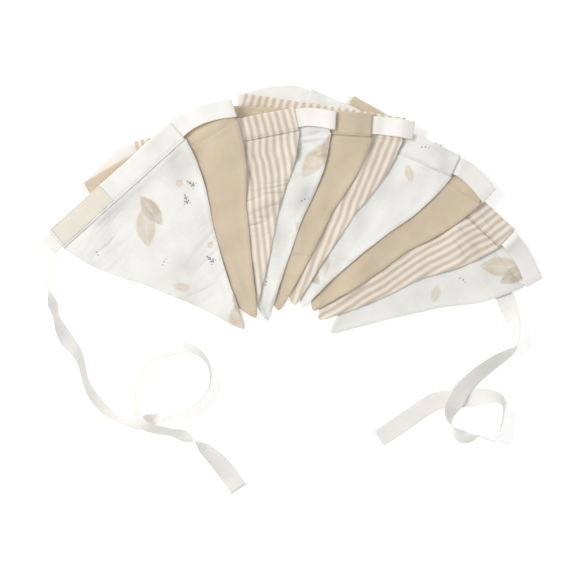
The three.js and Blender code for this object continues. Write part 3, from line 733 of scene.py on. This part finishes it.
def sprig_mask(tree, x, y, size):
    """A tiny sprig: a stem with slanting leaflets, cut by a tapering outline."""
    wide = tree.math("ABSOLUTE", y)
    stem = tree.between(wide, 0.0003, 0.0007, 1.0, 0.0)
    slant = tree.math("SUBTRACT", x, tree.math("MULTIPLY", wide, 1.1))
    phase = tree.math("PINGPONG", slant, size * 0.19)
    leaflets = tree.between(phase, size * 0.07, size * 0.11, 1.0, 0.0)
    both = tree.math("MAXIMUM", stem, leaflets)
    taper = tree.math("MULTIPLY_ADD", x, -0.3, size * 0.22)
    inside = tree.between(tree.math("SUBTRACT", taper, wide), 0.0, 0.0004)
    ends = tree.between(tree.math("ABSOLUTE", x), size * 0.46, size * 0.5, 1.0, 0.0)
    return tree.math("MULTIPLY", both, tree.math("MULTIPLY", inside, ends))


def blossom_mask(tree, x, y, size):
    """A loose blossom: a radius that swells five times around, with a paler heart."""
    angle = tree.math("ARCTAN2", y, x)
    petals = tree.math("ABSOLUTE", tree.math("COSINE", tree.math("MULTIPLY", angle, 2.5)))
    reach = tree.math("MULTIPLY_ADD", petals, size * 0.14, size * 0.36)
    square = tree.math("ADD", tree.math("MULTIPLY", x, x), tree.math("MULTIPLY", y, y))
    radius = tree.math("SQRT", square)
    body = tree.between(tree.math("SUBTRACT", reach, radius), -0.0002, 0.001)
    heart = tree.between(radius, size * 0.06, size * 0.24, 0.6, 1.0)
    return tree.math("MULTIPLY", body, heart)


def seeds_mask(tree, x, y, size):
    """A row of small oval seeds along a shallow arc."""
    arc = tree.math("SUBTRACT", y, tree.math("MULTIPLY", tree.math("MULTIPLY", x, x), 60.0))
    step = tree.math("PINGPONG", tree.math("ADD", x, 1.0), size * 0.2)
    square = tree.math("ADD", tree.math("MULTIPLY", step, step), tree.math("MULTIPLY", arc, arc))
    oval = tree.between(tree.math("SQRT", square), 0.0005, 0.0011, 1.0, 0.0)
    ends = tree.between(tree.math("ABSOLUTE", x), size * 0.48, size * 0.5, 1.0, 0.0)
    return tree.math("MULTIPLY", oval, ends)


MOTIF_MASKS = {"leaf": leaf_mask, "sprig": sprig_mask, "blossom": blossom_mask, "seeds": seeds_mask}


def print_group():
    """The print: each motif's mask tints the ground in turn, washed out by soft noise."""
    inputs = (("Place", "NodeSocketVector", None), ("Ground", "NodeSocketColor", (1, 1, 1, 1)))
    group, tree, source, result = new_group("Watercolour print", inputs, (("Color", "NodeSocketColor"),))
    placer = motif_place_group()
    place = source.outputs[0]
    drift = tree.add("ShaderNodeTexNoise", in0=place, in2=420.0, in3=2.0).outputs[1]
    drift = tree.vector("MULTIPLY", tree.vector("SUBTRACT", drift, (0.5, 0.5, 0.5)), (0.0016, 0.0016, 0.0))
    loose = tree.vector("ADD", place, drift)
    wash = tree.between(tree.noise(place, 75.0, 3.0), 0.3, 0.7, 0.5, 0.95)
    color = source.outputs[1]
    for motif in PRINT_MOTIFS:
        node = tree.add("ShaderNodeGroup", node_tree=placer)
        firm = motif["kind"] in ("sprig", "seeds")
        tree.feed(node.inputs[0], place if firm else loose)
        tree.feed(node.inputs[1], (motif["x"] * MM, motif["y"] * MM, 0.0))
        tree.feed(node.inputs[2], math.radians(motif["turn"]))
        apart = tree.add("ShaderNodeSeparateXYZ", in0=node.outputs[0])
        mask = MOTIF_MASKS[motif["kind"]](tree, apart.outputs[0], apart.outputs[1], motif["size"] * MM)
        share = tree.math("MULTIPLY", mask, 0.72 if firm else wash)
        color = tree.mix(share, color, (*TONES[motif["tone"]], 1.0))
    tree.feed(result.inputs[0], color)
    return group


def stripe_group():
    """Narrow woven stripes across the cloth, with soft edges and a slight drift."""
    inputs = (
        ("Place", "NodeSocketVector", None),
        ("Pitch", "NodeSocketFloat", 0.0071),
        ("Light", "NodeSocketColor", (1, 1, 1, 1)),
        ("Dark", "NodeSocketColor", (1, 1, 1, 1)),
    )
    group, tree, source, result = new_group("Woven stripes", inputs, (("Color", "NodeSocketColor"),))
    apart = tree.add("ShaderNodeSeparateXYZ", in0=source.outputs[0])
    drift = tree.noise(source.outputs[0], 26.0, 2.0)
    moved = tree.math("MULTIPLY_ADD", tree.math("SUBTRACT", drift, 0.5), 0.006, apart.outputs[0])
    turns = tree.math("MULTIPLY", tree.math("DIVIDE", moved, source.outputs[1]), 2 * math.pi)
    share = tree.between(tree.math("SINE", turns), -1.1, 1.1)
    tree.feed(result.inputs[0], tree.mix(share, source.outputs[2], source.outputs[3]))
    return group


def cloth_material(name, turn, offset, ground, roughness, threads=1500.0, slub=0.09, bump=0.0001, seam=0.0,
                   creases=0.0, seed=0.0):
    """A woven cloth: the ground colour shaded by its slubs, with the weave as bump."""
    material = bpy.data.materials.new(name)
    material.use_nodes = True
    tree = Tree(material.node_tree)
    shader = material.node_tree.nodes["Principled BSDF"]
    shader.inputs["Roughness"].default_value = roughness
    shader.inputs["Specular IOR Level"].default_value = 0.22
    shader.inputs["Sheen Weight"].default_value = 0.12
    shader.inputs["Sheen Roughness"].default_value = 0.5
    source = tree.add("ShaderNodeUVMap", uv_map="cloth").outputs[0]
    mapping = tree.add("ShaderNodeMapping", in0=source, in1=(*offset, 0.0), in2=(0.0, 0.0, turn))
    place = mapping.outputs[0]
    weave = tree.add("ShaderNodeGroup", node_tree=NODE_GROUPS["weave"])
    tree.feed(weave.inputs[0], place)
    tree.feed(weave.inputs[1], threads)
    tree.feed(weave.inputs[2], slub)
    color = ground(tree, place)
    patchy = tree.between(tree.noise(source, 34.0, 3.0), 0.25, 0.75, 0.965, 1.02)
    tone = tree.math("MULTIPLY", weave.outputs[1], patchy)
    # Painted shadow along the casing's foot, under the hem and between the stitches, darkens the colour
    if seam:
        sewn = tree.add("ShaderNodeGroup", node_tree=NODE_GROUPS["seam"], in0=source, in1=seam)
        tone = tree.math("MULTIPLY", tone, sewn.outputs[0])
    grey = tree.add("ShaderNodeCombineColor", in0=tone, in1=tone, in2=tone).outputs[0]
    tree.feed(shader.inputs["Base Color"], tree.mix(1.0, color, grey, "MULTIPLY"))
    relief = tree.add("ShaderNodeBump")
    relief.inputs["Strength"].default_value = 0.55
    relief.inputs["Distance"].default_value = bump
    tree.feed(relief.inputs["Height"], weave.outputs[0])
    if creases:
        folds = tree.add("ShaderNodeGroup", node_tree=NODE_GROUPS["creases"], in0=source, in1=seed)
        swell = tree.add("ShaderNodeBump")
        swell.inputs["Strength"].default_value = 1.0
        swell.inputs["Distance"].default_value = creases
        tree.feed(swell.inputs["Height"], folds.outputs[0])
        tree.feed(relief.inputs["Normal"], swell.outputs[0])
    tree.feed(shader.inputs["Normal"], relief.outputs[0])
    return material


NODE_GROUPS = {}


def group_color(kind, **values):
    """A ground whose colour comes from a node group, with the group's inputs by name."""
    def ground(tree, place):
        node = tree.add("ShaderNodeGroup", node_tree=NODE_GROUPS[kind])
        tree.feed(node.inputs["Place"], place)
        for label, value in values.items():
            tree.feed(node.inputs[label], value)
        return node.outputs[0]
    return ground


def plain_color(color):
    """A ground of one colour with a faint warm and cool drift."""
    def ground(tree, place):
        share = tree.noise(place, 55.0, 2.0)
        warm = tuple(min(1.0, channel * factor) for channel, factor in zip(color, (1.03, 1.0, 0.95)))
        cool = tuple(channel * factor for channel, factor in zip(color, (0.97, 0.985, 1.01)))
        return tree.mix(share, (*cool, 1.0), (*warm, 1.0))
    return ground


def flag_material(flag, settings):
    """The material of one flag's cloth, with its own thread direction and place in the cloth."""
    random = np.random.default_rng(flag["seed"] * 7)
    offset = tuple(float(value) for value in random.uniform(0.4, 0.9, 2))
    turn = math.radians(flag["threads"])
    grounds = {
        "print": lambda: group_color("print", Ground=(*settings.white, 1.0)),
        "sand": lambda: plain_color(tuple(settings.sand)),
        "stripe": lambda: group_color(
            "stripe", Pitch=settings.stripe_pitch,
            Light=(*settings.stripe_light, 1.0), Dark=(*settings.stripe_dark, 1.0),
        ),
    }
    ground = grounds[flag["cloth"]]()
    name = f"{flag['cloth']}_cotton_{flag['number']}"
    # Depth of the painted seam shadow: stronger where the hem lies upwards, faint on turned-over flags
    seam = PAINTED_SEAM_SHADOW_DEPTHS[flag["cloth"]] if sewn_above(flag) else 0.08
    return cloth_material(name, turn, offset, ground, 0.88, seam=seam,
                          creases=0.0075 * settings.crumple * flag["creases"], seed=flag["seed"] * 0.37)


def finish_piece(piece, material, replaced=()):
    piece.data.materials.clear()
    piece.data.materials.append(material)
    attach(piece, "root")
    if replaced:
        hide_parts(*replaced)
    return piece


# Settings and operators

class BuntingSettings(bpy.types.PropertyGroup):
    white: bpy.props.FloatVectorProperty(
        name="White cotton", description="Ground of the printed flags", subtype="COLOR", size=3,
        default=(0.855, 0.845, 0.805), min=0.0, max=1.0)
    sand: bpy.props.FloatVectorProperty(
        name="Sand cotton", description="Colour of the plain flags", subtype="COLOR", size=3,
        default=(0.665, 0.555, 0.415), min=0.0, max=1.0)
    stripe_light: bpy.props.FloatVectorProperty(
        name="Light stripe", description="Light threads of the striped flags", subtype="COLOR", size=3,
        default=(0.89, 0.80, 0.69), min=0.0, max=1.0)
    stripe_dark: bpy.props.FloatVectorProperty(
        name="Dark stripe", description="Dark threads of the striped flags", subtype="COLOR", size=3,
        default=(0.64, 0.55, 0.445), min=0.0, max=1.0)
    stripe_pitch: bpy.props.FloatProperty(
        name="Stripe pitch", description="From one stripe to the next", subtype="DISTANCE",
        default=0.0071, min=0.001, max=0.05, precision=4)
    puff: bpy.props.FloatProperty(
        name="Seam fullness", description="How full the turned seams stand", subtype="FACTOR",
        default=1.0, min=0.0, max=2.0)
    crumple: bpy.props.FloatProperty(
        name="Crumple", description="How far the soft waves of the cloth rise", subtype="FACTOR",
        default=1.0, min=0.0, max=3.0)


class TapeSettings(bpy.types.PropertyGroup):
    color: bpy.props.FloatVectorProperty(
        name="Tape", description="Colour of the tape", subtype="COLOR", size=3,
        default=(0.90, 0.885, 0.85), min=0.0, max=1.0)
    thickness: bpy.props.FloatProperty(
        name="Thickness", description="Thickness of the tape, in millimetres",
        default=0.85, min=0.3, max=1.5)
    tab_color: bpy.props.FloatVectorProperty(
        name="Tab", description="Colour of the bare tab", subtype="COLOR", size=3,
        default=(0.80, 0.755, 0.66), min=0.0, max=1.0)
    tab_start: bpy.props.FloatProperty(
        name="Tab start", description="Left end of the tab from the casing's middle, in millimetres",
        default=-79.0)
    tab_end: bpy.props.FloatProperty(
        name="Tab end", description="Right end of the tab from the casing's middle, in millimetres",
        default=-13.0)
    stitch_length: bpy.props.FloatProperty(
        name="Stitch", description="Length of a stitch, in millimetres", default=2.5, min=0.5, max=6.0)
    thread: bpy.props.FloatProperty(
        name="Thread", description="Thickness of the sewing thread, in millimetres",
        default=0.42, min=0.1, max=1.0)


class StageSettings(bpy.types.PropertyGroup):
    camera_height: bpy.props.FloatProperty(
        name="Camera height", description="Height of the camera above the surface", unit="LENGTH",
        default=3.0, min=0.5, max=10.0)
    view_width: bpy.props.FloatProperty(
        name="View width", description="Width that the picture shows on the surface", unit="LENGTH",
        default=0.58, min=0.1, max=3.0)
    key_power: bpy.props.FloatProperty(
        name="Key light", description="Power of the large soft light", subtype="POWER", unit="POWER",
        default=23.0, min=0.0, max=500.0)
    sky: bpy.props.FloatProperty(
        name="Sky", description="Strength of the even light from all around", subtype="FACTOR",
        default=0.64, min=0.0, max=3.0)


class BUNTING_OT_stage(bpy.types.Operator):
    """Sets the camera straight above, the pale floor and the soft lights."""

    bl_idname = "bunting.stage"
    bl_label = "Stage"

    def execute(self, context):
        settings = context.scene.bunting_stage
        scene = context.scene
        lens = bpy.data.cameras.new("camera")
        lens.sensor_width = 36.0
        lens.lens = lens.sensor_width * settings.camera_height / settings.view_width
        camera = bpy.data.objects.new("camera", lens)
        camera.location = (SHIFT_X * MM, SHIFT_Y * MM, settings.camera_height)
        scene.collection.objects.link(camera)
        scene.camera = camera
        self.make_floor(scene)
        self.make_lights(scene, settings)
        scene.view_settings.view_transform = "Standard"
        return {"FINISHED"}

    def make_floor(self, scene):
        size = 4.0
        mesh = bpy.data.meshes.new("floor")
        corners = [(-size, -size, -0.0002), (size, -size, -0.0002), (size, size, -0.0002), (-size, size, -0.0002)]
        mesh.from_pydata(corners, [], [(0, 1, 2, 3)])
        floor = bpy.data.objects.new("floor", mesh)
        scene.collection.objects.link(floor)
        material = bpy.data.materials.new("pale_floor")
        material.use_nodes = True
        shader = material.node_tree.nodes["Principled BSDF"]
        shader.inputs["Base Color"].default_value = (0.95, 0.95, 0.95, 1.0)
        shader.inputs["Roughness"].default_value = 0.9
        shader.inputs["Emission Color"].default_value = (1.0, 1.0, 1.0, 1.0)
        shader.inputs["Emission Strength"].default_value = 0.34
        mesh.materials.append(material)

    def make_lights(self, scene, settings):
        world = bpy.data.worlds.new("soft_sky")
        world.use_nodes = True
        background = world.node_tree.nodes["Background"]
        background.inputs[0].default_value = (1.0, 1.0, 1.0, 1.0)
        background.inputs[1].default_value = settings.sky
        scene.world = world
        light = bpy.data.lights.new("soft_key", "AREA")
        light.shape = "DISK"
        light.size = 0.9
        light.energy = settings.key_power
        key = bpy.data.objects.new("soft_key", light)
        key.location = (-1.35, 0.7, 1.5)
        aim = -key.location.normalized()
        key.rotation_euler = aim.to_track_quat("-Z", "Y").to_euler()
        scene.collection.objects.link(key)


class BUNTING_OT_flags(bpy.types.Operator):
    """Makes the cloth of every flag: its casing and its turned triangular panel."""

    bl_idname = "bunting.flags"
    bl_label = "Flags"

    def execute(self, context):
        settings = context.scene.bunting
        NODE_GROUPS["weave"] = weave_group()
        NODE_GROUPS["print"] = print_group()
        NODE_GROUPS["stripe"] = stripe_group()
        NODE_GROUPS["seam"] = painted_seam_shadow_group()
        NODE_GROUPS["creases"] = crease_group()
        for flag in reversed(FLAGS):
            number = flag["number"]
            casing = casing_surface(flag, settings.puff)
            panel = panel_surface(flag, settings.puff, settings.crumple)
            piece = make_mesh(f"flag_cloth_{number}", *joined([casing, panel]))
            finish_piece(piece, flag_material(flag, settings), (f"flag_{number}",))
        return {"FINISHED"}


class BUNTING_OT_stitching(bpy.types.Operator):
    """Sews the stitch line of every casing."""

    bl_idname = "bunting.stitching"
    bl_label = "Stitching"

    def execute(self, context):
        settings = context.scene.bunting_tape
        white = cloth_material("sewing_thread", 0.0, (0.0, 0.0), plain_color((0.82, 0.80, 0.76)), 0.7, 4000.0)
        sand = cloth_material("sand_thread", 0.0, (0.0, 0.0), plain_color((0.60, 0.48, 0.34)), 0.7, 4000.0)
        threads = {"print": white, "sand": sand, "stripe": white}
        for flag in FLAGS:
            parts = stitching_surface(flag, settings.stitch_length, settings.thread)
            piece = make_mesh(f"stitches_{flag['number']}", *parts)
            finish_piece(piece, threads[flag["cloth"]])
        return {"FINISHED"}


class BUNTING_OT_tape(bpy.types.Operator):
    """Makes the one long tape with its folds and its two free ties."""

    bl_idname = "bunting.tape"
    bl_label = "Tape"

    def execute(self, context):
        settings = context.scene.bunting_tape
        points, quads, texture, length = tape_surface(settings.thickness)
        piece = make_mesh("tape_cloth", points, quads, texture)
        material = cloth_material("cotton_tape", 0.0, (0.0, 0.0), plain_color(tuple(settings.color)), 0.8,
                                  1900.0, 0.05, 0.0001)
        finish_piece(piece, material, ("tape",))
        return {"FINISHED"}


class BUNTING_OT_tab(bpy.types.Operator):
    """Makes the bare tab on the top flag's casing."""

    bl_idname = "bunting.tab"
    bl_label = "Tab"

    def execute(self, context):
        settings = context.scene.bunting_tape
        piece = make_mesh("tab_cloth", *tab_surface(settings.tab_start, settings.tab_end, 0.42))
        material = cloth_material("plain_tab", 0.0, (0.0, 0.0), plain_color(tuple(settings.tab_color)), 0.62,
                                  3000.0, 0.12, 0.00006)
        finish_piece(piece, material, ("tab",))
        return {"FINISHED"}


class BUNTING_PT_panel(bpy.types.Panel):
    """Lists the pieces of the bunting and their sizes."""

    bl_idname = "BUNTING_PT_panel"
    bl_label = "Folded Bunting"
    bl_space_type = "VIEW_3D"
    bl_region_type = "UI"
    bl_category = "Bunting"

    def draw(self, context):
        layout = self.layout
        for operator in ("bunting.stage", "bunting.flags", "bunting.tape", "bunting.tab", "bunting.stitching"):
            layout.operator(operator)
        for group in (context.scene.bunting, context.scene.bunting_tape, context.scene.bunting_stage):
            box = layout.box()
            for name in group.__annotations__:
                box.prop(group, name)


CLASSES = (
    BuntingSettings,
    TapeSettings,
    StageSettings,
    BUNTING_OT_stage,
    BUNTING_OT_flags,
    BUNTING_OT_stitching,
    BUNTING_OT_tape,
    BUNTING_OT_tab,
    BUNTING_PT_panel,
)


def register():
    for item in CLASSES:
        bpy.utils.register_class(item)
    bpy.types.Scene.bunting = bpy.props.PointerProperty(type=BuntingSettings)
    bpy.types.Scene.bunting_tape = bpy.props.PointerProperty(type=TapeSettings)
    bpy.types.Scene.bunting_stage = bpy.props.PointerProperty(type=StageSettings)


def unregister():
    del bpy.types.Scene.bunting_stage
    del bpy.types.Scene.bunting_tape
    del bpy.types.Scene.bunting
    for item in reversed(CLASSES):
        bpy.utils.unregister_class(item)


def main():
    register()
    bpy.ops.bunting.stage()
    bpy.ops.bunting.flags()
    bpy.ops.bunting.tape()
    bpy.ops.bunting.tab()
    bpy.ops.bunting.stitching()


if __name__ == "__main__":
    main()
